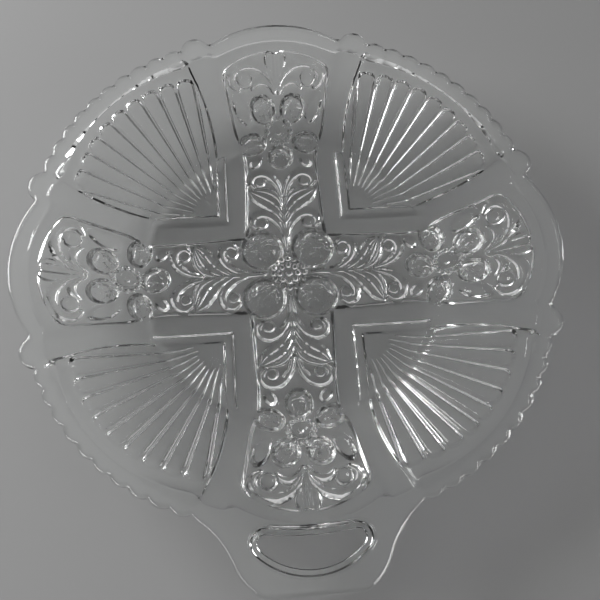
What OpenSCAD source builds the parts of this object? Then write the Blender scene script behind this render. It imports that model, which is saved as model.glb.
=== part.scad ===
// Pressed glass bread and butter plate with one tab handle.
// The plate is a single pressing. Each node is one section of its pattern, and neighbours meet face to face.
// The axis of the round dish is Z, the well's underside lies at z = 0 and the handle points towards -Y.
// The pattern stands on the underside, and the top face is smooth.

/* [Dish] */
// Radius of the rim circle, without lobes, knobs and scallops
rim_r = 80; // [76:0.5:86]
// Radius of the flat well
well_r = 47; // [44:0.5:50]
// Width of the flat rim outside the sloping wall
rim_w = 4; // [3:0.5:6]
// Height that the wall climbs from the well to the rim
dish_depth = 16.7; // [10:0.1:20]
// Thickness of the glass
glass_t = 4; // [3:0.1:5]
// Distance from the well's edge in to the division between the well and the walls
seam_in = 1; // [0.5:0.1:2]

/* [Plain lobes] */
// How far the middle of each plain lobe stands out beyond the rim circle
lobe_out = 4; // [3:0.5:6]
// Radius of each lobe's arc
lobe_r = 36; // [34:1:40]
// Width of the plain border between a lobe's edge and its flower field
lobe_border = 9; // [7:0.5:11]
// Radius of the arc that ends each flower field
field_r = 38; // [34:1:42]

/* [Knobs] */
// Angle of each knob from the middle of its lobe
knob_angle = 19.6; // [18:0.2:21]
// Radius of each knob
knob_r = 4.9; // [4.5:0.1:5.5]
// How far each knob stands out beyond the rim circle
knob_out = 3.9; // [3:0.1:5]

/* [Scallops] */
// Scallops along the edge of each fan
scallop_count = 10; // [8:1:12]
// Radius of each scallop
scallop_r = 4.4; // [4:0.1:5]
// How far the middle scallops stand out beyond the rim circle
scallop_out = 3.2; // [2.5:0.1:4]
// How far the centre of the scallop row lies from the plate's axis
scallop_row_shift = 14; // [8:1:18]

/* [Handle] */
// How far the handle's edge stands out beyond the rim circle
handle_out = 17; // [15:0.5:20]
// Length of the handle's straight outer edge
handle_edge_w = 28; // [24:1:34]
// Width of the handle across its corners
handle_w = 40; // [37:1:44]
// Depth of the slanted corners
handle_chamfer = 6; // [4:0.5:8]
// How far the shoulders stand out beyond the rim circle
shoulder_out = 1.5; // [1:0.1:2.5]
// Hollow of the handle's curved sides
handle_bow = 1.9; // [1.2:0.1:2.6]
// Distance from the wall's outer fold to the division between the front wall and the handle
handle_root_out = 1; // [0.5:0.1:1.5]
// Distance between the middles of the finger hole's round ends
hole_span = 24.2; // [20:0.2:26]
// Distance from the rim circle to the near edge of the finger hole
hole_near = 1.8; // [1.4:0.1:2.4]
// Distance from the rim circle to the far edge of the finger hole
hole_far = 10.3; // [9:0.1:11]
// Radius of the far edge of the finger hole
hole_arc_r = 20; // [19:0.5:24]

/* [Cross pattern] */
// Depth of the flower field below the plain bands
relief = 0.9; // [0.6:0.1:1.2]
// Height by which the pattern stays clear of the resting plane
relief_gap = 0.1; // [0.05:0.05:0.2]
// Width of the cross arms in the well
arm_w = 26.6; // [25:0.2:28]
// Hollow of the curved arm sides on the wall
arm_bow = 1; // [0.6:0.1:1.6]
// Width of the plain bands beside the arms
band_w = 5.2; // [4.4:0.2:6]
// Width of each band where it ends in a knob
band_end_w = 9.6; // [9:0.2:10.4]
// Hollow of the curved band sides along the fans
band_bow = 2.3; // [1.8:0.1:2.8]

/* [Fans] */
// Width of the narrow step inside each band corner
step_w = 3; // [2:0.2:3.6]
// Depth of the narrow step
step_depth = 0.4; // [0.3:0.1:0.6]
// Flutes in each fan
flute_count = 11; // [9:1:13]
// Depth of the flutes
flute_depth = 0.6; // [0.4:0.1:0.8]
// Radius of the rounded ribs between the flutes
rib_r = 0.55; // [0.4:0.05:0.65]
// Distance from the corner of a fan to the start of its ribs
rib_start = 8; // [7:0.5:10]
// Distance from the wall's outer fold in to the ends of the flutes
flute_end_gap = 2; // [1.5:0.1:3]

/* [Flowers] */
// Radius of the flat button in the middle of the plate
button_r = 4.6; // [4:0.1:5]
// Distance from the plate's axis to the middle of each centre petal
centre_petal_out = 11.4; // [11:0.1:11.6]
// Radius of each centre petal
centre_petal_r = 5.8; // [5:0.1:6]
// Distance from the end of a flower field in to the middle of its flower
flower_in = 24; // [23:0.2:25]
// Distance from the middle of an arm flower to the middle of each petal
petal_out = 8.4; // [8.2:0.1:8.6]
// Radius of each petal of an arm flower
petal_r = 4.7; // [4:0.1:4.8]
// Radius of the button of an arm flower
flower_button_r = 3.2; // [2.6:0.1:3.4]
// Height of petals and buttons above the field
petal_h = 0.7; // [0.5:0.05:0.75]

/* [Scrolls and leaves] */
// Distance from the plate's axis to the near pair of stem scrolls
near_scroll_out = 21; // [20:0.2:22]
// How far the far pair stands in from midway between the near pair and the flower
far_scroll_in = 3.6; // [3:0.1:5]
// Distance of each stem scroll from the middle of its arm
scroll_side = 7.4; // [7:0.1:8]
// Outer radius of a stem scroll
scroll_r = 3.4; // [3:0.1:3.8]
// Distance from the end of a flower field in to its palmette scrolls
palmette_in = 8.6; // [8.2:0.1:9]
// Distance of each palmette scroll from the middle of its arm
palmette_side = 10.6; // [10:0.1:11]
// Outer radius of a palmette scroll
palmette_r = 4.6; // [4:0.1:4.8]
// Width of a scroll's band
scroll_w = 1.3; // [1:0.1:1.5]
// Gap between a scroll's band and the bead in it
bead_gap = 0.4; // [0.3:0.1:0.6]
// Half width of the leaves
leaf_bow = 1.3; // [1:0.1:1.5]

/* [Hidden] */
$fn = 128;
ball_fn = 240;
SIDES = ["back", "left", "front", "right"];
CORNERS = ["back_right", "back_left", "front_left", "front_right"];
FRONT = 2;
glass = [0.86, 0.89, 0.89, 0.6];
frosted = [0.95, 0.96, 0.96, 0.9];

// Small overlap that keeps cutting tools clear of the faces that they cut
slack = 1;
// Length by which a straight edge runs on into a curve that cuts it
run_on = 3;
crease_r = rim_r - rim_w;
wall_angle = atan(dish_depth / (crease_r - well_r));
rim_top = glass_t + dish_depth;
far_r = rim_r + handle_out + slack;
half_arm = arm_w / 2;
band_in = half_arm + band_w;
fan_in = band_in + step_w;
knob_mid = rim_r * [sin(knob_angle), cos(knob_angle)];
knob_along = [cos(knob_angle), -sin(knob_angle)];
notch_arm = knob_mid - knob_along * band_end_w / 2;
notch_fan = knob_mid + knob_along * band_end_w / 2;
lobe_y = rim_r + lobe_out - lobe_r;
field_end = rim_r + lobe_out - lobe_border;
field_y = field_end - field_r;
flower_out = field_end - flower_in;
palmette_out = field_end - palmette_in;
far_scroll_out = (near_scroll_out + flower_out) / 2 - far_scroll_in;
seam_r = well_r - seam_in;
flute_end_r = crease_r - flute_end_gap;

// Fold radii of the surface that lies d above the underside, at the well and at the rim
function well_edge(d) = well_r + (glass_t - d) * tan(wall_angle / 2);
function rim_edge(d) = crease_r + (glass_t - d) * tan(wall_angle / 2);
// Height at radius r of the surface that lies d above the underside
function skin_z(r, d) = d + max(0, r - well_edge(d)) * tan(wall_angle);
// Circle through a and b, bulging to the left of the way from a to b by bow
function arc_radius(a, b, bow) = (pow(norm(b - a) / 2, 2) + pow(bow, 2)) / (2 * bow);
function right_of(a, b) = unit([b.y - a.y, a.x - b.x]);
function arc_centre(a, b, bow) = (a + b) / 2 + right_of(a, b) * (arc_radius(a, b, bow) - bow);
function unit(v) = v / norm(v);
// Distance along direction u from p to the circle of radius r about the axis
function reach(p, u, r) = -(p * u) + sqrt(pow(p * u, 2) - p * p + r * r);

arm_start = [half_arm, sqrt(pow(well_edge(0), 2) - pow(half_arm, 2))];
fan_start = [fan_in, sqrt(pow(well_edge(0), 2) - pow(fan_in, 2))];
handle_root_r = rim_edge(0) + handle_root_out;
shoulder = unit(notch_fan) * (rim_r + shoulder_out);
handle_corner = [handle_w / 2, rim_r + handle_out - handle_chamfer];
handle_edge = [handle_edge_w / 2, rim_r + handle_out];
hole_arc_y = rim_r + hole_far - hole_arc_r;
hole_end_near = sqrt(pow(rim_r + hole_near, 2) - pow(hole_span / 2, 2));
hole_end_far = hole_arc_y + sqrt(pow(hole_arc_r, 2) - pow(hole_span / 2, 2));
scallop_row_r = rim_r + scallop_out - scallop_row_shift;
notch_turn = 45 - atan2(notch_fan.x, notch_fan.y);
row_end = norm(notch_fan) * [cos(notch_turn), sin(notch_turn)] - [scallop_row_shift, 0];
scallop_step = 2 * atan2(row_end.y, row_end.x) / scallop_count;

// Helpers: the dish's skin and plan shapes for an arm that points towards +Y

// Layer of the dish between the heights d0 and d1 above its underside
module layer(d0, d1) {
    rotate_extrude()
        polygon([
            [0, d0], [well_edge(d0), d0], [rim_edge(d0), dish_depth + d0], [far_r, dish_depth + d0],
            [far_r, dish_depth + d1], [rim_edge(d1), dish_depth + d1], [well_edge(d1), d1], [0, d1]
        ]);
}

// Part of the layer under a plan shape
module layer_part(d0, d1) {
    intersection() {
        layer(d0, d1);
        translate([0, 0, -2 * slack]) linear_extrude(rim_top + 4 * slack) children();
    }
}

module arc_disc(a, b, bow) {
    translate(arc_centre(a, b, bow)) circle(arc_radius(a, b, bow));
}

module both_sides() {
    children();
    mirror([1, 0]) children();
}

module turn(k) {
    rotate(90 * k) children();
}

// The arm between its two curved sides, outside the well
module arm_plan() {
    difference() {
        translate([-far_r / 2, 0]) square(far_r);
        both_sides() arc_disc(arm_start, notch_arm, arm_bow);
    }
}

// The fan between the arms that point towards +Y and +X
module fan_plan() {
    intersection() {
        arc_disc(fan_start, notch_fan, band_bow);
        mirror([1, -1]) arc_disc(fan_start, notch_fan, band_bow);
    }
}

// Half of the quarter between an arm's middle line and the middle of the fan beside it
module half_quarter() {
    polygon([[0, 0], [0, far_r], [far_r, far_r]]);
}

module lobe_plan() {
    circle(rim_r);
    translate([0, lobe_y]) circle(lobe_r);
}

module knob_plan() {
    circle(rim_r);
    rotate(-knob_angle) translate([0, rim_r + knob_out - knob_r]) circle(knob_r);
}

module scallop_plan() {
    circle(rim_r);
    rotate(45) translate([scallop_row_shift, 0])
        for (i = [0 : scallop_count - 1])
            rotate((i - (scallop_count - 1) / 2) * scallop_step)
                translate([scallop_row_r - scallop_r, 0]) circle(scallop_r);
}

module hole_plan() {
    difference() {
        intersection() {
            translate([0, hole_arc_y]) circle(hole_arc_r);
            translate([-hole_span / 2, rim_r]) square([hole_span, handle_out]);
        }
        circle(rim_r + hole_near);
    }
    both_sides()
        translate([hole_span / 2, (hole_end_near + hole_end_far) / 2])
            circle((hole_end_far - hole_end_near) / 2);
}

// The straight edges run on into the arcs that hollow the handle's sides
module handle_plan() {
    root = shoulder + unit(shoulder) * run_on;
    corner = handle_corner + unit(handle_corner - handle_edge) * run_on;
    difference() {
        polygon([
            [0, 0], root, corner, handle_edge,
            [-handle_edge.x, handle_edge.y], [-corner.x, corner.y], [-root.x, root.y]
        ]);
        both_sides() arc_disc(shoulder, handle_corner, handle_bow);
        hole_plan();
    }
}

// Bounds the front arm and bands where the handle takes over
module up_to_handle(k) {
    intersection() {
        children();
        circle(k == FRONT ? handle_root_r : far_r);
    }
}

module leaf(a, b) {
    intersection() {
        arc_disc(a, b, leaf_bow);
        arc_disc(b, a, leaf_bow);
    }
}

module scroll(r) {
    difference() {
        circle(r);
        circle(r - scroll_w);
    }
}

// Ball whose cap stands on the flower field at p with the given radius and height
module cap(p, r, h) {
    ball_r = (r * r + h * h) / (2 * h);
    on_wall = norm(p) > well_edge(relief);
    tilt = on_wall ? wall_angle : 0;
    away = norm(p) > 0 ? p / norm(p) : [0, 0];
    inward = [-away.x * sin(tilt), -away.y * sin(tilt), cos(tilt)];
    translate([p.x, p.y, skin_z(norm(p), relief)] + inward * (ball_r - h)) sphere(ball_r, $fn = ball_fn);
}

module rod(p, q, r) {
    way = q - p;
    translate(p) rotate([0, acos(way.z / norm(way)), atan2(way.y, way.x)]) cylinder(h = norm(way), r = r);
}

// Point on a rib at the plan point p
function rib_point(p) = [p.x, p.y, skin_z(norm(p), relief_gap + rib_r)];

// Rounded ribs between the flutes, with a short break where the wall starts
module ribs() {
    corner = [fan_in, fan_in];
    for (i = [1 : flute_count - 1]) {
        u = [cos(i * 90 / flute_count), sin(i * 90 / flute_count)];
        bend = reach(corner, u, well_edge(relief_gap + rib_r));
        end = reach(corner, u, flute_end_r + slack);
        rod(rib_point(corner + u * rib_start), rib_point(corner + u * (bend - rib_r)), rib_r);
        rod(rib_point(corner + u * bend), rib_point(corner + u * end), rib_r);
    }
}

// Sections of the plate

// Flat base with the chevron bands, the narrow steps, the inner ends of the flutes and the middle button
module well() {
    color(glass) {
        difference() {
            cylinder(h = glass_t, r = seam_r);
            translate([0, 0, relief]) mirror([0, 0, 1]) linear_extrude(relief + slack)
                difference() {
                    for (k = [0, 1])
                        turn(k) translate([-half_arm, -rim_r]) square([arm_w, 2 * rim_r]);
                    circle(button_r);
                }
            for (k = [0 : 3])
                turn(k) {
                    translate([band_in, band_in, -slack]) cube([well_r, well_r, step_depth + slack]);
                    translate([fan_in, fan_in, -slack]) cube([well_r, well_r, flute_depth + slack]);
                }
        }
        intersection() {
            cylinder(h = glass_t, r = seam_r);
            for (k = [0 : 3])
                turn(k) ribs();
        }
    }
}

// Four round petals about the middle button
module centre_flower() {
    color(frosted)
        intersection() {
            layer(-slack, relief);
            for (k = [0 : 3])
                cap(centre_petal_out * [cos(45 + 90 * k), sin(45 + 90 * k)], centre_petal_r, petal_h);
        }
}

// Leafy stem with two pairs of scrolls along one arm of the cross
module stem() {
    leaf_top = flower_out - petal_out - petal_r - 2 * relief_gap;
    color(frosted) {
        layer_part(relief_gap, relief) {
            leaf([0, centre_petal_out], [0, leaf_top]);
            both_sides()
                for (y = [near_scroll_out, far_scroll_out]) {
                    translate([scroll_side, y]) scroll(scroll_r);
                    leaf([0, y - 2 * scroll_r], [scroll_side - scroll_r + scroll_w, y + scroll_w]);
                }
        }
        intersection() {
            layer(-slack, relief);
            for (y = [near_scroll_out, far_scroll_out], side = [-1, 1])
                cap([side * scroll_side, y], scroll_r - scroll_w - bead_gap, petal_h);
        }
    }
}

// Five-petalled flower at the edge of the well
module flower() {
    color(frosted)
        layer_part(relief_gap, relief)
            translate([0, flower_out]) {
                circle(flower_button_r);
                for (i = [0 : 4])
                    rotate(180 + 72 * i) translate([0, petal_out]) circle(petal_r);
            }
}

// Palmette of a pointed leaf between two scrolls on the wall
module palmette() {
    base_y = palmette_out - palmette_r;
    tip_y = field_end - scroll_w;
    scroll_foot = [palmette_side - palmette_r + scroll_w, palmette_out + scroll_w];
    color(frosted) {
        layer_part(relief_gap, relief) {
            leaf([0, base_y], [0, tip_y]);
            both_sides() {
                translate([palmette_side, palmette_out]) scroll(palmette_r);
                leaf([0, base_y + 2 * scroll_w], scroll_foot);
            }
        }
        intersection() {
            layer(-slack, relief);
            for (side = [-1, 1])
                cap([side * palmette_side, palmette_out], palmette_r - scroll_w - bead_gap, petal_h);
        }
    }
}

// Sloping wall and plain lobe at the end of one arm, with its sunk flower field
module arm_wall(k) {
    color(glass)
        difference() {
            layer_part(0, glass_t)
                up_to_handle(k)
                    difference() {
                        intersection() {
                            lobe_plan();
                            arm_plan();
                        }
                        circle(seam_r);
                    }
            layer_part(-slack, relief) translate([0, field_y]) circle(field_r);
        }
}

// Plain band that climbs the wall beside an arm and ends in a knob
module band(k) {
    color(glass)
        layer_part(0, glass_t)
            up_to_handle(k)
                difference() {
                    intersection() {
                        knob_plan();
                        half_quarter();
                    }
                    circle(seam_r);
                    arm_plan();
                    fan_plan();
                }
}

// Fluted wall between two arms, with its scalloped edge
module fan() {
    color(glass) {
        difference() {
            layer_part(0, glass_t)
                difference() {
                    intersection() {
                        scallop_plan();
                        fan_plan();
                    }
                    circle(seam_r);
                }
            layer_part(-slack, flute_depth) circle(flute_end_r);
        }
        intersection() {
            ribs();
            layer_part(-slack, glass_t)
                difference() {
                    fan_plan();
                    circle(seam_r);
                }
        }
    }
}

// Flat tab with the finger hole
module handle() {
    color(glass)
        translate([0, 0, dish_depth]) linear_extrude(glass_t)
            turn(FRONT)
                difference() {
                    handle_plan();
                    circle(handle_root_r);
                }
}

well();
centre_flower();
handle();
for (k = [0 : 3]) {
    turn(k) stem();
    turn(k) flower();
    turn(k) palmette();
    turn(k) arm_wall(k);
    turn(k) band(k);
    turn(k) mirror([1, 0, 0]) band(k);
    turn(k) fan();
}
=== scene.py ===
"""Looks of a pressed glass bread and butter plate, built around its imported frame.

The plate is one pressing, so one continuous glass mesh stands for all the CAD sections.
Its top is smooth, and the pattern lies in relief on the underside and shows through the glass.
Lengths are in metres. The handle points towards -Y and the plate stands on z = 0.
"""
import math

import bpy
import numpy as np
from mathutils import Matrix, Vector
from mathutils.geometry import delaunay_2d_cdt
from mathutils.kdtree import KDTree


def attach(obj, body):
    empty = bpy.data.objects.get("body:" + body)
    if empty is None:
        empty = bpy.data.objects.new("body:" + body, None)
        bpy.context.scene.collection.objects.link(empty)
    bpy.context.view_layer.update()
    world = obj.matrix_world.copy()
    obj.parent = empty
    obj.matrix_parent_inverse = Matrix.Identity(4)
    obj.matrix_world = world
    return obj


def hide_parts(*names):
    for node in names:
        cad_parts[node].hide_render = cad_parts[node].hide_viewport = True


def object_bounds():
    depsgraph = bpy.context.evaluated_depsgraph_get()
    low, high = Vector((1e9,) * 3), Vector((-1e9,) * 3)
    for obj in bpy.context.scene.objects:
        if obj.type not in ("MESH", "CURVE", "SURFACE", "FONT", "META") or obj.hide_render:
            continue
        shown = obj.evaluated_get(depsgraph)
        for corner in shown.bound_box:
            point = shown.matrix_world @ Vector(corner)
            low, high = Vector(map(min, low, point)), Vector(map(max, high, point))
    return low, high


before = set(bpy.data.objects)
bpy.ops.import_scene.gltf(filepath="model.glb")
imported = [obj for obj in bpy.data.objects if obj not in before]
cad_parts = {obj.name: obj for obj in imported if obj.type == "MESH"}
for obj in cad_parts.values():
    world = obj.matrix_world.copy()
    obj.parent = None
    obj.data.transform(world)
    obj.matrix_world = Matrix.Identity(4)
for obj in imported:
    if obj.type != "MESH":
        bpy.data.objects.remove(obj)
cad_low, cad_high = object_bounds()

MM = 0.001

# Dish
RIM_R = 80 * MM
WELL_R = 47 * MM
CREASE_R = 76 * MM
GLASS_T = 4 * MM
RIM_TOP = cad_high.z
DISH_DEPTH = RIM_TOP - GLASS_T
WALL_ANGLE = math.atan(DISH_DEPTH / (CREASE_R - WELL_R))
UNDER_SHIFT = GLASS_T * math.tan(WALL_ANGLE / 2)
WELL_FOLD = 1.8 * MM
RIM_FOLD = 0.3 * MM
EDGE_ROUND = 1.3 * MM
EDGE_START = math.radians(25)

# Plan of the rim
LOBE_OUT = 4 * MM
LOBE_R = 36 * MM
LOBE_CREASE_OUT = 78 * MM
LOBE_CREASE_R = 36 * MM
KNOB_ANGLE = math.radians(19.6)
KNOB_R = 4.9 * MM
KNOB_OUT = 3.9 * MM
SCALLOPS = 10
SCALLOP_R = 4.4 * MM
SCALLOP_OUT = 3.2 * MM
SCALLOP_ROW_SHIFT = 14 * MM
FAN_CREASE_OUT = 77.3 * MM
FAN_CREASE_SHIFT = 28 * MM
KNOB_CREASE_R = 76.4 * MM
NOTCH_SOFTNESS = 0.25 * MM
CREASE_SOFTNESS = 1.2 * MM

# Handle
HANDLE_OUT = 17 * MM
HANDLE_EDGE_W = 28 * MM
HANDLE_W = 40 * MM
HANDLE_CHAMFER = 6 * MM
HANDLE_BOW = 1.9 * MM
SHOULDER_OUT = 1.5 * MM
HANDLE_SOFTNESS = 1.1 * MM
# Least cosine from the handle's direction at which its straight edge limits the outline
FLAT_EDGE_COS = 0.5
HOLE_NEAR = 1.8 * MM
HOLE_FAR = 10.3 * MM
HOLE_ARC_R = 20 * MM
HOLE_END_R = 2.2 * MM
HOLE_LIP_W = 0.7 * MM
HOLE_LIP_DROP = 1.1 * MM
HOLE_ROUND = 2.1 * MM
HOLE_DROP = 0.85 * MM

# Cross, bands and fans of the underside
RELIEF = 2.0 * MM
FIELD_STEP_W = 1.3 * MM
HALF_ARM = 13.3 * MM
BAND_W = 5.2 * MM
BAND_END_W = 9.6 * MM
BAND_BOW = 2.3 * MM
FIELD_END = 76.7 * MM
FIELD_R = 28 * MM
FIELD_CORNER_R = 3 * MM
FRAME_W = 3 * MM
FRAME_DEPTH = 1.2 * MM
FRAME_STEP_W = 1.2 * MM
FRAME_FADE = 2.5 * MM
FLUTES = 11
FLUTE_PITCH = math.pi / 2 / FLUTES
FLUTE_LENGTH = 45.8 * MM
FLUTE_HOLLOW = 0.2
FLUTE_END_BULGE = 0.8 * MM
FLUTE_END_W = 1.8 * MM
RIB_SHARE = 0.17
RIB_SLOPE = 1.2
FAN_STEP_W = 0.8 * MM
PANEL_DEPTH = 0.7 * MM
PANEL_END = 76.5 * MM
PANEL_FADE = 2.5 * MM
PETAL_EDGE_W = 1.1 * MM
PETAL_FOLDS = 9
PETAL_FOLD_SHARE = 0.32
BLADE_EDGE = 8
BLADE_GROOVE_SHARE = 0.6
BLADE_GROOVE_OUT = 1.3 * MM
BLADE_GROOVE_W = 1.0 * MM
# Share of the field's depth that stays open under the highest ornament
FIELD_REST_SHARE = 0.04
MOULD_LINE_W = 0.5 * MM
MOULD_LINE_DEPTH = 0.11 * MM

BAND_IN = HALF_ARM + BAND_W
FAN_IN = BAND_IN + FRAME_W
WELL_UNDER_R = WELL_R + UNDER_SHIFT
SIDES = (90, 180, 270, 0)
FRONT = 270
DIAGONALS = (45, 135, 225, 315)

# Mesh density
RIM_STEPS = 7200
EDGE_POINTS = 1200
HOLE_STEP = 0.5 * MM
EDGE_ROWS = 4
LATTICE = (1.4 * MM, 0.7 * MM, 0.35 * MM)
TURN_PER_CELL = 0.6
FLUTE_SHARES = (0, 0.045, 0.125, 0.195, 0.3, 0.5, 0.7, 0.805, 0.875, 0.955)
FLUTE_STEP = 1.5 * MM
FLUTE_FOLD_STEP = 0.5 * MM
FLUTE_MESH_IN = 9 * MM
FLUTE_MESH_SIDE = 1.3 * MM
FLUTE_MESH_OUT = 2.8 * MM
ROW_STEP = 0.45 * MM
ROW_SHARES = (-0.3, 0, 0.33, 0.67, 1, 1.3)
ROW_CLEAR = 0.25 * MM
TOP_COLUMNS = 180
TOP_STEP = 3 * MM
TOP_FOLD_STEP = 0.6 * MM
CREASE_COLUMNS = 720
CREASE_ROWS = (-2, -1, 0, 1, 2)
CREASE_CLEAR = 0.9 * MM
EDGE_SUPPORT = 0.25 * MM
CLEAR_OF_EDGE = 0.5 * MM
LEAST_ARC_STEPS = 6
HANDLE_SIDE_STEPS = 24
HANDLE_SLANT_STEPS = 12
HANDLE_EDGE_STEPS = 40
ARM_ROWS = (17 * MM, 71.5 * MM)
ARM_END_ROWS = 15.5 * MM
CORNER_CLEAR = 2 * MM
WALL_ROWS_END = 73.5 * MM
FOLD_REACH = 1.5 * WELL_FOLD
MERGE_STEP = LATTICE[-1] / 3
LEAST_RING = 12
ON_DIAGONAL = 1e-9
CDT_EPSILON = 1e-10

# Finish of the glass and the floor; a depth is that of the full range of its noise
GLASS_TINT = (0.985, 0.995, 0.99, 1)
GLASS_IOR = 1.52
GLASS_ROUGHNESS = 0.015
RIPPLE_PER_M = 90
RIPPLE_DETAIL = 2
RIPPLE_STRENGTH = 0.25
RIPPLE_DEPTH = 0.2 * MM
STIPPLE_PER_M = 620
STIPPLE_DEPTH = 1.1 * MM
FLOOR_GREY = (0.38, 0.38, 0.38, 1)
FLOOR_ROUGHNESS = 0.9
FLOOR_SIZE = 4.0
FLOOR_GAP = 0.2 * MM

# Light and camera; each lamp has its name, place and size in metres and power in watts
LAMPS = (
    ("window", (-0.57, 0.33, 0.24), (0.45, 0.34), 4.8),
    ("fill_left", (-0.64, -0.45, 0.12), (0.5, 0.16), 2.0),
    ("fill_right", (0.73, -0.28, 0.1), (0.7, 0.14), 2.0),
)
SKY_SIDE = (-0.15, 0.5, 0.85)
SKY_DARK = 0.02
SKY_BRIGHT = 0.6
# Cosine from the bright side at which the sky starts to grow brighter
SKY_START = 0.35
CAMERA_PLACE = Vector((-10.56, -88.15, 222.9)) * MM
CAMERA_AIM = Vector((3.02, -8.73, 0)) * MM
CAMERA_ROLL = math.radians(5.74)
CAMERA_LENS_MM = 43.97
CAMERA_SENSOR_MM = 36
CAMERA_NEAR = 0.01


# Plane geometry

def heading(degrees):
    """Unit vector in the plan, from +X towards +Y."""
    return np.array([math.cos(math.radians(degrees)), math.sin(math.radians(degrees))])


def unit(v):
    return v / np.linalg.norm(v)


def ramp(x):
    """Straight rise from 0 to 1."""
    return np.clip(x, 0.0, 1.0)


def smooth_step(x):
    """Rise from 0 to 1 that starts and ends softly."""
    x = ramp(x)
    return x * x * (3 - 2 * x)


def arc_through(a, b, bow):
    """Centre and radius of the circle through a and b that bulges by bow to the left on the way to b."""
    way = b - a
    radius = ((np.linalg.norm(way) / 2) ** 2 + bow ** 2) / (2 * bow)
    right = unit(np.array([way[1], -way[0]]))
    return (a + b) / 2 + right * (radius - bow), radius


def arc_points(centre, radius, start, end, count):
    """Points on an arc between two angles in radians."""
    angles = np.linspace(start, end, count)
    return centre + radius * np.stack([np.cos(angles), np.sin(angles)], axis=1)


def ray_exit(directions, centre, radius):
    """Distance from the axis to where each ray leaves a circle, or 0 where it misses the circle."""
    along = directions @ centre
    inside = radius ** 2 - centre @ centre + along ** 2
    return np.where(inside > 0, along + np.sqrt(np.maximum(inside, 0)), 0.0)


def soften(values, sigma):
    """Blurs values round the rim with a Gaussian that is sigma wide at the rim circle."""
    step = 2 * math.pi * RIM_R / len(values)
    waves = np.fft.rfftfreq(len(values), step)
    return np.fft.irfft(np.fft.rfft(values) * np.exp(-2 * (math.pi * waves * sigma) ** 2), len(values))


knob_mid = RIM_R * np.array([math.sin(KNOB_ANGLE), math.cos(KNOB_ANGLE)])
knob_along = np.array([math.cos(KNOB_ANGLE), -math.sin(KNOB_ANGLE)])
notch_arm = knob_mid - knob_along * BAND_END_W / 2
notch_fan = knob_mid + knob_along * BAND_END_W / 2
fan_start = np.array([FAN_IN, math.sqrt(WELL_UNDER_R ** 2 - FAN_IN ** 2)])
fan_arc = arc_through(fan_start, notch_fan, BAND_BOW)


# Outline of the plate

def handle_reach(angles):
    """Distance from the axis to the handle's edge at each angle."""
    shoulder = unit(notch_fan) * (RIM_R + SHOULDER_OUT)
    corner = np.array([HANDLE_W / 2, RIM_R + HANDLE_OUT - HANDLE_CHAMFER])
    edge = np.array([HANDLE_EDGE_W / 2, RIM_R + HANDLE_OUT])
    centre, radius = arc_through(shoulder, corner, HANDLE_BOW)
    ends = [math.atan2(*(p - centre)[::-1]) % (2 * math.pi) for p in (shoulder, corner)]
    side = arc_points(centre, radius, *ends, HANDLE_SIDE_STEPS)
    slant = corner + (edge - corner) * np.linspace(0, 1, HANDLE_SLANT_STEPS)[:, None]
    straight = (edge * np.linspace(1, 0, HANDLE_EDGE_STEPS)[:, None]
                + np.array([0, edge[1]]) * np.linspace(0, 1, HANDLE_EDGE_STEPS)[:, None])
    half = np.concatenate([[notch_fan], side, slant, straight])
    off_axis = np.arctan2(half[:, 0], half[:, 1])
    reach = np.hypot(half[:, 0], half[:, 1])
    order = np.argsort(off_axis)
    turn = np.abs((angles - math.radians(FRONT) + math.pi) % (2 * math.pi) - math.pi)
    return np.interp(turn, off_axis[order], reach[order], right=0.0)


def outline_reach(angles):
    """Distance from the axis to the plate's edge at each angle."""
    directions = np.stack([np.cos(angles), np.sin(angles)], axis=1)
    reach = soften(np.maximum(handle_reach(angles), RIM_R), HANDLE_SOFTNESS)
    for side in SIDES:
        if side == FRONT:
            continue
        reach = np.maximum(reach, ray_exit(directions, heading(side) * (RIM_R + LOBE_OUT - LOBE_R), LOBE_R))
        for turn in (-KNOB_ANGLE, KNOB_ANGLE):
            knob = heading(side + math.degrees(turn)) * (RIM_R + KNOB_OUT - KNOB_R)
            reach = np.maximum(reach, ray_exit(directions, knob, KNOB_R))
    row_r = RIM_R + SCALLOP_OUT - SCALLOP_ROW_SHIFT
    notch_turn = math.pi / 4 - math.atan2(notch_fan[0], notch_fan[1])
    row_end = np.linalg.norm(notch_fan) * np.array([math.cos(notch_turn), math.sin(notch_turn)])
    step = 2 * math.atan2(row_end[1], row_end[0] - SCALLOP_ROW_SHIFT) / SCALLOPS
    for diagonal in DIAGONALS:
        for i in range(SCALLOPS):
            turn = math.degrees((i - (SCALLOPS - 1) / 2) * step)
            scallop = heading(diagonal) * SCALLOP_ROW_SHIFT + heading(diagonal + turn) * (row_r - SCALLOP_R)
            reach = np.maximum(reach, ray_exit(directions, scallop, SCALLOP_R))
    reach = soften(reach, NOTCH_SOFTNESS)
    return np.minimum(reach, (RIM_R + HANDLE_OUT) / np.maximum(-directions[:, 1], FLAT_EDGE_COS))


def crease_reach(angles):
    """Distance from the axis to the fold between the wall and the flat rim at each angle."""
    directions = np.stack([np.cos(angles), np.sin(angles)], axis=1)
    reach = np.full(len(angles), KNOB_CREASE_R)
    for side in SIDES:
        lobe = ray_exit(directions, heading(side) * (LOBE_CREASE_OUT - LOBE_CREASE_R), LOBE_CREASE_R)
        near = directions @ heading(side) > math.cos(math.atan2(*notch_arm))
        reach = np.where(near, lobe, reach)
    for diagonal in DIAGONALS:
        shift = heading(diagonal) * FAN_CREASE_SHIFT
        fan = ray_exit(directions, shift, FAN_CREASE_OUT - FAN_CREASE_SHIFT)
        near = directions @ heading(diagonal) > math.cos(math.pi / 4 - math.atan2(*notch_fan))
        reach = np.where(near, fan, reach)
    return soften(reach, CREASE_SOFTNESS)


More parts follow.
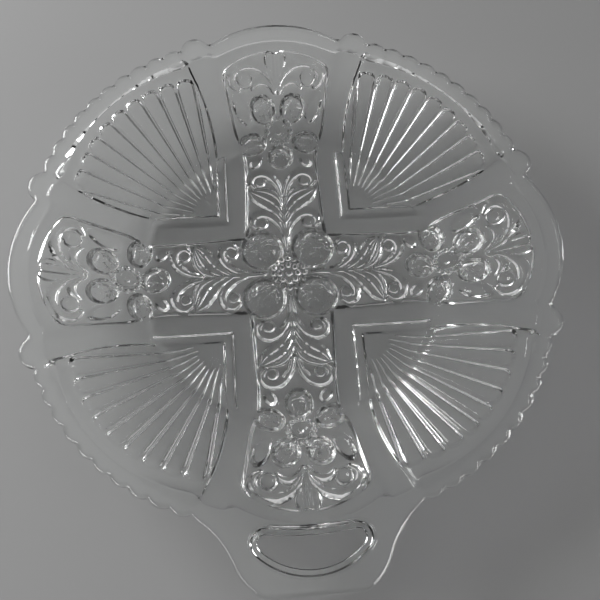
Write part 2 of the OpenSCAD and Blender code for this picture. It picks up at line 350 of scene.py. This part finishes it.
def arc_steps(radius, turn):
    """Number of points for an arc of the finger hole."""
    return max(LEAST_ARC_STEPS, int(abs(turn) * radius / HOLE_STEP))


def hole_points():
    """Edge of the finger hole, counter-clockwise: a far and a near arc with round ends."""
    near_r = RIM_R + HOLE_NEAR
    far_mid = RIM_R + HOLE_FAR - HOLE_ARC_R
    near_reach, far_reach = near_r + HOLE_END_R, HOLE_ARC_R - HOLE_END_R
    end_y = (near_reach ** 2 - far_reach ** 2 + far_mid ** 2) / (2 * far_mid)
    end = np.array([math.sqrt(near_reach ** 2 - end_y ** 2), end_y])
    far_turn = math.atan2(end[1] - far_mid, end[0])
    near_turn = math.atan2(end[1], end[0])
    far = arc_points(np.array([0, far_mid]), HOLE_ARC_R, far_turn, math.pi - far_turn,
                     arc_steps(HOLE_ARC_R, math.pi - 2 * far_turn))
    near = arc_points(np.zeros(2), near_r, math.pi - near_turn, near_turn,
                      arc_steps(near_r, math.pi - 2 * near_turn))
    bend = math.pi + far_turn - near_turn
    end_steps = arc_steps(HOLE_END_R, bend)
    left = arc_points(end * [-1, 1], HOLE_END_R, math.pi - far_turn, math.pi - far_turn + bend, end_steps)
    right = arc_points(end, HOLE_END_R, near_turn + math.pi, near_turn + math.pi + bend, end_steps)
    loop = np.concatenate([far[:-1], left[:-1], near[:-1], right[:-1]])
    return -loop


def outward(loop):
    """Unit normals of a closed counter-clockwise loop, pointing out of it."""
    along = np.roll(loop, -1, axis=0) - np.roll(loop, 1, axis=0)
    normal = np.stack([along[:, 1], -along[:, 0]], axis=1)
    return normal / np.linalg.norm(normal, axis=1)[:, None]


# Heights of the two faces

rim_angles = np.arange(RIM_STEPS) * 2 * math.pi / RIM_STEPS
outline_table = outline_reach(rim_angles)
crease_table = crease_reach(rim_angles)


def round_the_rim(table, x, y):
    """Value at each point's angle from a table that goes once round the rim."""
    place = (np.arctan2(y, x) % (2 * math.pi)) / (2 * math.pi) * RIM_STEPS
    return np.interp(place, np.arange(RIM_STEPS + 1), np.append(table, table[0]))


def dish_profile(r, well_r, rim_r):
    """Height of a face that is flat in the well, climbs to the rim and is flat again, with round folds."""
    slope = DISH_DEPTH / (rim_r - well_r)
    from_well = np.clip(r - well_r + WELL_FOLD, 0, 2 * WELL_FOLD)
    into_rim = np.clip(rim_r + RIM_FOLD - r, 0, 2 * RIM_FOLD)
    climb = np.clip(r - well_r - WELL_FOLD, 0, None) - np.clip(r - rim_r + RIM_FOLD, 0, None)
    blends = from_well ** 2 / (4 * WELL_FOLD) + RIM_FOLD - into_rim ** 2 / (4 * RIM_FOLD)
    return slope * (climb + blends)


def top_height(x, y):
    return GLASS_T + dish_profile(np.hypot(x, y), WELL_R, round_the_rim(crease_table, x, y))


def base_height(x, y):
    """Height of the underside without its pattern."""
    rim = round_the_rim(crease_table, x, y) + UNDER_SHIFT
    return dish_profile(np.hypot(x, y), WELL_UNDER_R, rim)


# Ornament of one arm, in mm, drawn for the half with positive x of the arm that points along +Y

def spline(points, count=14):
    """Smooth curve through points, with count steps between neighbours."""
    p = np.array(points, float) * MM
    p = np.concatenate([[2 * p[0] - p[1]], p, [2 * p[-1] - p[-2]]])
    t = np.linspace(0, 1, count, endpoint=False)[:, None]
    curve = []
    for a, b, c, d in zip(p, p[1:], p[2:], p[3:]):
        curve.append(0.5 * (2 * b + (c - a) * t + (2 * a - 5 * b + 4 * c - d) * t ** 2
                            + (3 * b - a - 3 * c + d) * t ** 3))
    return np.concatenate(curve + [p[-2:-1]])


def stroke(x, y, points, widths, height, edge=1.5):
    """Height of a raised rounded stroke along a curve; widths are half widths spread evenly along it."""
    path = spline(points)
    half = np.interp(np.linspace(0, 1, len(path)), np.linspace(0, 1, len(widths)), widths) * MM
    result = np.zeros(len(x))
    reach = half.max()
    low, high = path.min(0) - reach, path.max(0) + reach
    near = np.flatnonzero((x > low[0]) & (x < high[0]) & (y > low[1]) & (y < high[1]))
    if len(near) == 0:
        return result
    p = np.stack([x[near], y[near]], axis=1)
    best = np.full(len(near), np.inf)
    for a, b, wa, wb in zip(path, path[1:], half, half[1:]):
        way = b - a
        t = np.clip(((p - a) @ way) / (way @ way), 0, 1)
        off = np.linalg.norm(p - a - t[:, None] * way, axis=1)
        best = np.minimum(best, off / (wa + (wb - wa) * t))
    result[near] = height * (1 - np.clip(best, 0, 1) ** edge)
    return result


def petal(x, y, middle, long_r, wide_r, degrees, height, cup=0.75):
    """Height of a cupped petal with a sloping edge and soft folds that spread along its heading."""
    u = heading(degrees)
    px, py = x - middle[0] * MM, y - middle[1] * MM
    along = (px * u[0] + py * u[1]) / (long_r * MM)
    across = (py * u[0] - px * u[1]) / (wide_r * MM)
    q = np.hypot(along, across)
    edge = PETAL_EDGE_W / (min(long_r, wide_r) * MM)
    bowl = np.clip(1 - (q / (1 - edge)) ** 2, 0, 1)
    folds = 1 - PETAL_FOLD_SHARE * np.cos(PETAL_FOLDS * np.arctan2(across * wide_r, (along + 1) * long_r))
    return height * ramp((1 - q) / edge) * (1 - cup * bowl * folds)


def dome(x, y, middle, radius, height):
    q = np.hypot(x - middle[0] * MM, y - middle[1] * MM) / (radius * MM)
    return height * np.sqrt(np.clip(1 - q ** 2, 0, 1))


def bead_ring(x, y, middle, ring_r, count, bead_r, height):
    """Ring of beads about a button."""
    px, py = x - middle[0] * MM, y - middle[1] * MM
    pitch = 2 * math.pi / count
    turn = (np.arctan2(py, px) + pitch / 2) % pitch - pitch / 2
    r = np.hypot(px, py)
    q = np.hypot(r * np.cos(turn) - ring_r * MM, r * np.sin(turn)) / (bead_r * MM)
    return height * np.sqrt(np.clip(1 - q ** 2, 0, 1))


LEAF_H = 0.9 * RELIEF
SMALL_LEAF_H = 0.75 * RELIEF
PETAL_H = 0.85 * RELIEF
BEAD_H = 0.9 * RELIEF


# Middle, half length and half width in mm and heading in degrees of each petal in the octant
CENTRE_PETAL = ((8.3, 8.3), 7.1, 7.1, 45)
FLOWER_PETALS = (
    ((5.1, 58.7), 4.7, 4.4, 60),
    ((9.3, 47.8), 5.1, 4.0, -18),
    ((0, 43.0), 5.0, 4.5, -90),
)


def petal_share(x, y):
    """1 on the petals of the flowers and 0 off them."""
    across = np.minimum(np.abs(x), np.abs(y))
    along = np.maximum(np.abs(x), np.abs(y))
    return np.max([petal(across, along, *place, 1, 0) for place in (CENTRE_PETAL, *FLOWER_PETALS)], axis=0)


def centre_flower(x, y):
    """Four round petals about a beaded button in the middle of the plate."""
    return [
        petal(x, y, *CENTRE_PETAL, PETAL_H),
        dome(x, y, (0, 0), 3.3, 0.45 * RELIEF),
        dome(x, y, (0, 0), 1.3, BEAD_H),
        bead_ring(x, y, (0, 0), 2.9, 8, 1.1, BEAD_H),
        bead_ring(x, y, (0, 0), 5.1, 16, 1.0, BEAD_H),
    ]


def stem(x, y):
    """Two volutes with the lobes of an acanthus leaf between them, on a stalk from the centre flower."""
    return [
        stroke(x, y, [(0, 7.4), (0, 10), (0, 14), (0, 18), (0, 24)], (0.4, 1.2, 1.7, 1.2, 0.4), LEAF_H),
        stroke(x, y, [(0.5, 13.8), (1.9, 17.4), (4.3, 20.2), (7.1, 21.4), (9.7, 20.6), (10.7, 18.4),
                      (9.6, 16.6)], (0.8, 1.5, 1.8, 1.7, 1.1), LEAF_H),
        dome(x, y, (7.7, 18.0), 2.1, LEAF_H),
        stroke(x, y, [(0.5, 18.6), (2.8, 22.2), (6.0, 24.9), (9.2, 27.3), (11.3, 30.4)],
               (0.8, 1.6, 2.0, 1.7, 0.3), LEAF_H),
        stroke(x, y, [(0.5, 21.6), (2.4, 25.0), (5.2, 27.4), (8.2, 29.0), (10.8, 30.4)],
               (0.8, 1.5, 1.7, 1.3, 0.3), LEAF_H),
        stroke(x, y, [(0.5, 24.6), (1.9, 27.6), (4.2, 29.5), (7.0, 30.4), (10.0, 30.8)],
               (0.7, 1.3, 1.4, 1.0, 0.3), LEAF_H),
        stroke(x, y, [(0.5, 28.0), (1.7, 32.2), (3.9, 35.3), (6.8, 36.7), (9.5, 35.8), (10.5, 33.6),
                      (9.3, 31.8)], (0.8, 1.5, 1.8, 1.7, 1.1), LEAF_H),
        dome(x, y, (7.5, 33.4), 2.0, LEAF_H),
    ]


def flower(x, y):
    """Five cupped petals about a beaded button, with leaves between them."""
    return [
        *[petal(x, y, *place, PETAL_H) for place in FLOWER_PETALS],
        dome(x, y, (0, 52.2), 3.0, 0.55 * RELIEF),
        dome(x, y, (0, 52.2), 1.1, BEAD_H),
        bead_ring(x, y, (0, 52.2), 3.9, 14, 0.85, BEAD_H),
        petal(x, y, (12.2, 58.2), 5.4, 2.7, 62, SMALL_LEAF_H, 0.3),
        petal(x, y, (8.6, 40.8), 3.0, 2.0, -50, SMALL_LEAF_H, 0.0),
    ]


def palmette(x, y):
    """Pointed leaf between two volutes and two smaller leaves."""
    blade = stroke(x, y, [(0, 64.8), (0, 68), (0, 70.5), (0, 73), (0, 74.6)],
                   (0.4, 1.4, 2.7, 3.8, 2.6), 1, BLADE_EDGE)
    cup = 1 - BLADE_GROOVE_SHARE * np.exp(-((np.abs(x) - BLADE_GROOVE_OUT) / BLADE_GROOVE_W) ** 2)
    return [
        PETAL_H * blade * cup,
        stroke(x, y, [(0.6, 64.4), (2.1, 68.2), (5.1, 70.9), (9.0, 72.0), (12.8, 71.0), (15.1, 68.5),
                      (15.1, 66.0), (13.2, 64.4)], (0.6, 1.4, 1.8, 1.9, 1.7, 1.1), LEAF_H),
        dome(x, y, (10.9, 67.2), 2.7, LEAF_H),
        stroke(x, y, [(0.6, 63.4), (2.2, 65.8), (4.8, 67.1), (7.2, 66.4), (8.6, 64.6)],
               (0.6, 1.2, 1.5, 1.2, 0.3), SMALL_LEAF_H),
    ]


arm_side = spline([(13.5, 0), (13.4, 14), (12.9, 28), (12.6, 40), (13.6, 46.5), (15.6, 52), (17.2, 61),
                   (19.0, 69), (22.3, 77)])


def round_corner(to_one, to_other, radius):
    """Distance into the corner between two edges, with the corner rounded off."""
    cut = np.hypot(np.clip(radius - to_one, 0, None), np.clip(radius - to_other, 0, None))
    return np.where(np.maximum(to_one, to_other) < radius, radius - cut, np.minimum(to_one, to_other))


def cross_depth(x, y):
    """Depth of the sunk cross with its ornament, for points of the octant 0 <= x <= y."""
    to_side = np.interp(y, arm_side[:, 1], arm_side[:, 0]) - x
    to_end = FIELD_R - np.hypot(x, np.maximum(y - (FIELD_END - FIELD_R), 0))
    inside = round_corner(to_side, to_end, FIELD_CORNER_R)
    field = RELIEF * ramp(inside / FIELD_STEP_W)
    raised = np.max(centre_flower(x, y) + stem(x, y) + flower(x, y) + palmette(x, y), axis=0)
    return np.maximum(field - raised, FIELD_REST_SHARE * field)


def inside_fan(x, y):
    """Distance of a point of the octant from the fan's side, positive inside the fan."""
    side_centre, side_r = fan_arc
    on_wall = y > fan_start[1]
    return np.where(on_wall, side_r - np.hypot(x - side_centre[0], y - side_centre[1]), x - FAN_IN)


def fan_depth(x, y):
    """Depth of the fluted fan, its sunk panel and the frame in its corner, for the same octant."""
    inside = inside_fan(x, y)
    corner_x, corner_y = x - FAN_IN, y - FAN_IN
    from_corner = np.hypot(corner_x, corner_y)
    share = (np.arctan2(corner_y, corner_x) / FLUTE_PITCH) % 1.0
    from_rib = np.minimum(share, 1 - share)
    rib_h = RIB_SLOPE * RIB_SHARE * FLUTE_PITCH * from_corner
    length = FLUTE_LENGTH - FLUTE_END_BULGE * (2 * share - 1) ** 2
    flute = rib_h * (ramp(from_rib / RIB_SHARE) + FLUTE_HOLLOW * 4 * share * (1 - share))
    flute *= ramp((length - from_corner) / FLUTE_END_W) * ramp(inside / FAN_STEP_W)
    corner_frame = FRAME_DEPTH * ramp((x - BAND_IN) / FRAME_STEP_W) * (1 - ramp(inside / FAN_STEP_W))
    r = np.hypot(x, y)
    panel = PANEL_DEPTH * ramp(inside / FAN_STEP_W) * smooth_step((r - WELL_UNDER_R) / PANEL_FADE)
    panel *= 1 - smooth_step((r - PANEL_END) / PANEL_FADE)
    return flute + panel + corner_frame * smooth_step((WELL_UNDER_R + WELL_FOLD - r) / FRAME_FADE)


def under_height(x, y):
    """Height of the patterned underside."""
    across = np.minimum(np.abs(x), np.abs(y))
    along = np.maximum(np.abs(x), np.abs(y))
    pattern = np.maximum(cross_depth(across, along), fan_depth(across, along))
    to_fold = np.hypot(x, y) - round_the_rim(crease_table, x, y) - UNDER_SHIFT
    mould_line = MOULD_LINE_DEPTH * ramp(1 - np.abs(to_fold) / MOULD_LINE_W)
    return base_height(x, y) + pattern + mould_line


# Mesh of the plate

def lattice_points(step, limit):
    """Triangular lattice over the octant 0 <= x <= y up to the radius limit."""
    rows = np.arange(0, limit, step * math.sqrt(3) / 2)
    points = []
    for i, y in enumerate(rows):
        x = np.arange((i % 2) * step / 2, y + step / 2, step)
        points.append(np.stack([x, np.full(len(x), y)], axis=1))
    points = np.concatenate(points)
    return points[points[:, 0] <= points[:, 1]]


def sharpness(x, y, step):
    """How much the slope of the underside changes over one lattice cell."""
    probe = step / 2
    middle = under_height(x, y)
    bend_x = under_height(x + probe, y) + under_height(x - probe, y) - 2 * middle
    bend_y = under_height(x, y + probe) + under_height(x, y - probe) - 2 * middle
    return np.maximum(np.abs(bend_x), np.abs(bend_y)) / probe ** 2 * step


def in_flutes(points):
    """Whether points of the octant lie where the mesh follows the flutes."""
    x, y = points.T
    from_corner = np.hypot(x - FAN_IN, y - FAN_IN)
    between = (from_corner > FLUTE_MESH_IN) & (from_corner < FLUTE_LENGTH - FLUTE_MESH_OUT)
    return between & (inside_fan(x, y) > FLUTE_MESH_SIDE)


def flute_points():
    """Points in rows along the flutes of the octant's half fan."""
    turns = [(i + share) * FLUTE_PITCH for i in range(FLUTES) for share in FLUTE_SHARES]
    along = np.arange(FLUTE_MESH_IN, FLUTE_LENGTH, FLUTE_FOLD_STEP)
    main = np.arange(len(along)) % round(FLUTE_STEP / FLUTE_FOLD_STEP) == 0
    rows = []
    for turn in turns:
        row = FAN_IN + along[:, None] * np.array([math.cos(turn), math.sin(turn)])
        at_fold = np.abs(np.hypot(*row.T) - WELL_UNDER_R) < FOLD_REACH
        rows.append(row[main | at_fold])
    points = np.concatenate(rows)
    points = points[points[:, 0] <= points[:, 1] + ON_DIAGONAL]
    return points[in_flutes(points)]


def pattern_edges():
    """Edges of the octant's pattern as paths, each with the width of the slope on its left."""
    side_y = np.arange(*ARM_ROWS, ROW_STEP)
    arm_edge = np.stack([np.interp(side_y, arm_side[:, 1], arm_side[:, 0]), side_y], axis=1)
    arm_end_x = np.arange(ARM_END_ROWS, 0, -ROW_STEP)
    arm_end = np.stack([arm_end_x, FIELD_END - FIELD_R + np.sqrt(FIELD_R ** 2 - arm_end_x ** 2)], axis=1)
    frame_y = np.arange(fan_start[1], BAND_IN + CORNER_CLEAR, -ROW_STEP)
    frame_edge = np.stack([np.full(len(frame_y), BAND_IN), frame_y], axis=1)
    fan_y = np.arange(fan_start[1], FAN_IN + CORNER_CLEAR, -ROW_STEP)
    fan_edge = np.stack([np.full(len(fan_y), FAN_IN), fan_y], axis=1)
    centre, radius = fan_arc
    wall_y = np.arange(WALL_ROWS_END, fan_start[1] + ROW_STEP, -ROW_STEP)
    wall_edge = np.stack([centre[0] - np.sqrt(radius ** 2 - (wall_y - centre[1]) ** 2), wall_y], axis=1)
    return [(arm_edge, FIELD_STEP_W), (arm_end, FIELD_STEP_W), (frame_edge, FRAME_STEP_W),
            (fan_edge, FAN_STEP_W), (wall_edge, FAN_STEP_W)]


def left_of(path):
    """Unit normals on the left of an open path."""
    along = np.gradient(path, axis=0)
    left = np.stack([-along[:, 1], along[:, 0]], axis=1)
    return left / np.linalg.norm(left, axis=1)[:, None]


def edge_rows():
    """Plan points in rows along the edges of the octant's pattern."""
    return np.concatenate([path + left_of(path) * share * width
                           for path, width in pattern_edges() for share in ROW_SHARES])


def in_rows(points):
    """Whether points of the octant lie in a belt that such rows fill."""
    belts = np.zeros(len(points), bool)
    for path, width in pattern_edges():
        number, gap = nearest(points, path)
        inward = ((points - path[number]) * left_of(path)[number]).sum(1)
        beside = (number > 0) & (number < len(path) - 1) & (gap < ROW_SHARES[-1] * width + ROW_CLEAR)
        belts |= beside & (inward > ROW_SHARES[0] * width - ROW_CLEAR)
    return belts


def under_points(limit):
    """Plan points of the underside in all eight octants: a lattice, finer where the surface bends."""
    kept = [lattice_points(LATTICE[0], limit)]
    for coarse, fine in zip(LATTICE, LATTICE[1:]):
        points = lattice_points(fine, limit)
        kept.append(points[sharpness(points[:, 0], points[:, 1], coarse) > TURN_PER_CELL])
    octant = np.concatenate(kept)
    octant = np.concatenate([flute_points(), edge_rows(), octant[~in_flutes(octant) & ~in_rows(octant)]])
    both = np.concatenate([octant, octant[:, ::-1]])
    spread = np.concatenate([both * [sx, sy] for sx in (1, -1) for sy in (1, -1)])
    keys = np.round(spread / MERGE_STEP).astype(int)
    first = np.unique(keys, axis=0, return_index=True)[1]
    return with_crease(spread[np.sort(first)], UNDER_SHIFT)


def with_crease(points, shift):
    """Plan points of a face with rows along its rim fold, which lies shift outside the fold of the top."""
    to_fold = np.hypot(*points.T) - round_the_rim(crease_table, *points.T) - shift
    angles = np.arange(CREASE_COLUMNS) * 2 * math.pi / CREASE_COLUMNS
    around = np.stack([np.cos(angles), np.sin(angles)], axis=1)
    fold_r = round_the_rim(crease_table, *around.T) + shift
    rows = [(fold_r + i * RIM_FOLD)[:, None] * around for i in CREASE_ROWS]
    return np.concatenate([points[np.abs(to_fold) > CREASE_CLEAR]] + rows)


def top_points(limit):
    """Plan points of the smooth top: rings that lie close together at the fold round the well."""
    fold = np.arange(WELL_R - 2 * WELL_FOLD, WELL_R + 2 * WELL_FOLD, TOP_FOLD_STEP)
    plain = np.arange(TOP_STEP, limit, TOP_STEP)
    plain = plain[np.abs(plain - WELL_R) > 2 * WELL_FOLD + TOP_STEP / 2]
    points = [np.zeros((1, 2))]
    for i, r in enumerate(np.concatenate([fold, plain])):
        count = min(TOP_COLUMNS, max(LEAST_RING, int(2 * math.pi * r / TOP_STEP)))
        angles = (np.arange(count) + 0.5 * (i % 2)) * 2 * math.pi / count
        points.append(r * np.stack([np.cos(angles), np.sin(angles)], axis=1))
    return with_crease(np.concatenate(points), 0.0)


def handle_points(step):
    """Lattice over the handle, outside the rim circle."""
    xs = np.arange(-HANDLE_W, HANDLE_W, step)
    ys = np.arange(-RIM_R - HANDLE_OUT, -RIM_R / 2, step)
    grid = np.stack(np.meshgrid(xs, ys), axis=-1).reshape(-1, 2)
    return grid[np.hypot(grid[:, 0], grid[:, 1]) > RIM_R - LOBE_OUT]


def inside_loop(points, loop):
    """Whether each point lies inside a closed loop, by counting crossings."""
    inside = np.zeros(len(points), bool)
    for a, b in zip(loop, np.roll(loop, -1, axis=0)):
        crosses = (a[1] > points[:, 1]) != (b[1] > points[:, 1])
        if not crosses.any():
            continue
        at = a[0] + (points[:, 1] - a[1]) / (b[1] - a[1]) * (b[0] - a[0])
        inside ^= crosses & (points[:, 0] < at)
    return inside


def nearest(points, path):
    """Number of the nearest point of a path and the distance to it, for each point."""
    tree = KDTree(len(path))
    for i, p in enumerate(path.tolist()):
        tree.insert((*p, 0), i)
    tree.balance()
    found = [tree.find((*p, 0)) for p in points.tolist()]
    return np.array([f[1] for f in found]), np.array([f[2] for f in found])


def fill(outline, hole, points):
    """Plan points and triangles between an outline and a hole; the loops come first, in their order."""
    points = points[inside_loop(points, outline) & ~inside_loop(points, hole)]
    loops = np.concatenate([outline, hole])
    points = np.concatenate([loops, points[nearest(points, loops)[1] > CLEAR_OF_EDGE]])
    n, m = len(outline), len(hole)
    edges = [(i, (i + 1) % n) for i in range(n)] + [(n + i, n + (i + 1) % m) for i in range(m)]
    made = delaunay_2d_cdt([Vector(p) for p in points.tolist()], edges, [], 0, CDT_EPSILON, True)
    origin = np.array([ids[0] for ids in made[3]])
    faces = origin[np.array(made[2])]
    middles = points[faces].mean(1)
    outside = np.zeros(len(faces), bool)
    on_outline = (faces < n).all(1)
    outside[on_outline] = ~inside_loop(middles[on_outline], outline)
    on_hole = ((faces >= n) & (faces < n + m)).all(1)
    outside[on_hole] = inside_loop(middles[on_hole], hole)
    return points, faces[~outside]


def edge_strip(rings):
    """Quads between closed rings of vertex numbers that follow each other."""
    strips = []
    for a, b in zip(rings, rings[1:]):
        strips.append(np.stack([a, b, np.roll(b, -1), np.roll(a, -1)], axis=1))
    return np.concatenate(strips)


def edge_profile(rounds):
    """Height and inset of each row down an edge, over rounds of given width and drop and back under."""
    bends = np.linspace(EDGE_START, math.pi / 2, EDGE_ROWS + 1)
    inset = sum(width for width, _ in rounds)
    rows = [(RIM_TOP, inset)]
    for width, drop in rounds:
        z = rows[-1][0]
        inset -= width
        for bend in bends[1:]:
            fall = drop * (1 - math.cos(bend) / math.cos(EDGE_START))
            rows.append((z - fall, inset + width * (1 - math.sin(bend)) / (1 - math.sin(EDGE_START))))
    return rows + [(DISH_DEPTH + RIM_TOP - z, inset) for z, inset in reversed(rows)]


def plate_mesh():
    """Vertices, faces and petal shares of the plate: smooth top, patterned underside, rounded edges."""
    angles = np.arange(EDGE_POINTS) * 2 * math.pi / EDGE_POINTS
    reach = round_the_rim(outline_table, np.cos(angles), np.sin(angles))
    outline = reach[:, None] * np.stack([np.cos(angles), np.sin(angles)], axis=1)
    hole = hole_points()
    loops = (
        (outline, -outward(outline), edge_profile([(EDGE_ROUND, EDGE_ROUND)])),
        (hole, outward(hole), edge_profile([(HOLE_LIP_W, HOLE_LIP_DROP), (HOLE_ROUND, HOLE_DROP)])),
    )
    inner = [loop + into_glass * (profile[0][1] + EDGE_SUPPORT) for loop, into_glass, profile in loops]
    limit = RIM_R + LOBE_OUT
    top_xy, top_faces = fill(*inner, np.concatenate([top_points(limit), handle_points(TOP_STEP)]))
    under_xy, under_faces = fill(*inner, np.concatenate([under_points(limit), handle_points(TOP_STEP)]))
    top = np.column_stack([top_xy, top_height(*top_xy.T)])
    under = np.column_stack([under_xy, under_height(*under_xy.T)])
    vertices = [top, under]
    total = len(top) + len(under)
    quads = []
    first = 0
    for loop, into_glass, profile in loops:
        count = len(loop)
        rings = [np.arange(first, first + count)]
        for z, inset in profile:
            vertices.append(np.column_stack([loop + into_glass * inset, np.full(count, z)]))
            rings.append(np.arange(total, total + count))
            total += count
        rings.append(np.arange(len(top) + first, len(top) + first + count))
        strip = edge_strip(rings)
        quads.append(strip if first == 0 else strip[:, ::-1])
        first += count
    faces = [top_faces, (under_faces + len(top))[:, ::-1]]
    petals = np.zeros(total)
    petals[len(top):len(top) + len(under)] = petal_share(*under_xy.T)
    return np.concatenate(vertices), [f for group in faces + quads for f in group.tolist()], petals


# Materials

def new_material(name):
    material = bpy.data.materials.new(name)
    material.use_nodes = True
    return material, material.node_tree.nodes, material.node_tree.links


def glass_material():
    """Clear pressed glass with a faint ripple all over and a stipple on the petals."""
    material, nodes, links = new_material("clear_glass")
    glass = nodes["Principled BSDF"]
    glass.inputs["Base Color"].default_value = GLASS_TINT
    glass.inputs["Transmission Weight"].default_value = 1.0
    glass.inputs["IOR"].default_value = GLASS_IOR
    glass.inputs["Roughness"].default_value = GLASS_ROUGHNESS
    place = nodes.new("ShaderNodeTexCoord")
    ripple = nodes.new("ShaderNodeTexNoise")
    ripple.inputs["Scale"].default_value = RIPPLE_PER_M
    ripple.inputs["Detail"].default_value = RIPPLE_DETAIL
    bump = nodes.new("ShaderNodeBump")
    bump.inputs["Strength"].default_value = RIPPLE_STRENGTH
    bump.inputs["Distance"].default_value = RIPPLE_DEPTH
    links.new(place.outputs["Object"], ripple.inputs["Vector"])
    links.new(ripple.outputs["Fac"], bump.inputs["Height"])
    petals = nodes.new("ShaderNodeAttribute")
    petals.attribute_name = "petals"
    grain = nodes.new("ShaderNodeTexNoise")
    grain.inputs["Scale"].default_value = STIPPLE_PER_M
    on_petals = nodes.new("ShaderNodeMath")
    on_petals.operation = "MULTIPLY"
    stipple = nodes.new("ShaderNodeBump")
    stipple.inputs["Distance"].default_value = STIPPLE_DEPTH
    links.new(place.outputs["Object"], grain.inputs["Vector"])
    links.new(grain.outputs["Fac"], on_petals.inputs[0])
    links.new(petals.outputs["Fac"], on_petals.inputs[1])
    links.new(on_petals.outputs["Value"], stipple.inputs["Height"])
    links.new(bump.outputs["Normal"], stipple.inputs["Normal"])
    links.new(stipple.outputs["Normal"], glass.inputs["Normal"])
    return material


def floor_material():
    """Plain pale grey surface."""
    material, nodes, _ = new_material("floor_grey")
    nodes["Principled BSDF"].inputs["Base Color"].default_value = FLOOR_GREY
    nodes["Principled BSDF"].inputs["Roughness"].default_value = FLOOR_ROUGHNESS
    return material


# Plate

vertices, faces, petals = plate_mesh()
mesh = bpy.data.meshes.new("pressed_plate")
mesh.from_pydata(vertices.tolist(), [], faces)
mesh.shade_smooth()
mesh.attributes.new("petals", "FLOAT", "POINT").data.foreach_set("value", petals)
plate = bpy.data.objects.new("pressed_plate", mesh)
bpy.context.scene.collection.objects.link(plate)
mesh.materials.append(glass_material())
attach(plate, "root")
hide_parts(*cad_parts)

# Floor, light and camera

floor_mesh = bpy.data.meshes.new("floor")
floor_signs = ((-1, -1), (1, -1), (1, 1), (-1, 1))
floor_corners = [(sx * FLOOR_SIZE / 2, sy * FLOOR_SIZE / 2, 0) for sx, sy in floor_signs]
floor_mesh.from_pydata(floor_corners, [], [(0, 1, 2, 3)])
floor = bpy.data.objects.new("floor", floor_mesh)
floor.location.z = -FLOOR_GAP
floor_mesh.materials.append(floor_material())
bpy.context.scene.collection.objects.link(floor)


def area_light(name, place, size, power):
    """Soft rectangular lamp that faces the middle of the plate."""
    lamp = bpy.data.lights.new(name, "AREA")
    lamp.shape = "RECTANGLE"
    lamp.size, lamp.size_y = size
    lamp.energy = power
    holder = bpy.data.objects.new(name, lamp)
    holder.location = place
    holder.rotation_mode = "QUATERNION"
    holder.rotation_quaternion = (-Vector(place)).to_track_quat("-Z", "Y")
    bpy.context.scene.collection.objects.link(holder)


for lamp_values in LAMPS:
    area_light(*lamp_values)


def soft_sky(bright_side, dark, bright):
    """World light that grows evenly from the dark side of the room to the bright one."""
    world = bpy.data.worlds.new("studio")
    world.use_nodes = True
    nodes, links = world.node_tree.nodes, world.node_tree.links
    place = nodes.new("ShaderNodeTexCoord")
    facing = nodes.new("ShaderNodeVectorMath")
    facing.operation = "DOT_PRODUCT"
    facing.inputs[1].default_value = Vector(bright_side).normalized()
    level = nodes.new("ShaderNodeMapRange")
    level.interpolation_type = "SMOOTHSTEP"
    level.inputs["From Min"].default_value = SKY_START
    level.inputs["From Max"].default_value = 1.0
    level.inputs["To Min"].default_value = dark
    level.inputs["To Max"].default_value = bright
    links.new(place.outputs["Generated"], facing.inputs[0])
    links.new(facing.outputs["Value"], level.inputs["Value"])
    links.new(level.outputs["Result"], nodes["Background"].inputs["Strength"])
    nodes["Background"].inputs["Color"].default_value = (1, 1, 1, 1)
    bpy.context.scene.world = world


soft_sky(SKY_SIDE, SKY_DARK, SKY_BRIGHT)
bpy.context.scene.view_settings.view_transform = "Standard"

camera = bpy.data.objects.new("camera", bpy.data.cameras.new("camera"))
camera.data.lens = CAMERA_LENS_MM
camera.data.sensor_width = CAMERA_SENSOR_MM
camera.data.clip_start = CAMERA_NEAR
look = (CAMERA_AIM - CAMERA_PLACE).to_track_quat("-Z", "Y").to_matrix().to_4x4()
camera.matrix_world = Matrix.Translation(CAMERA_PLACE) @ look @ Matrix.Rotation(CAMERA_ROLL, 4, "Z")
bpy.context.scene.collection.objects.link(camera)
bpy.context.scene.camera = camera
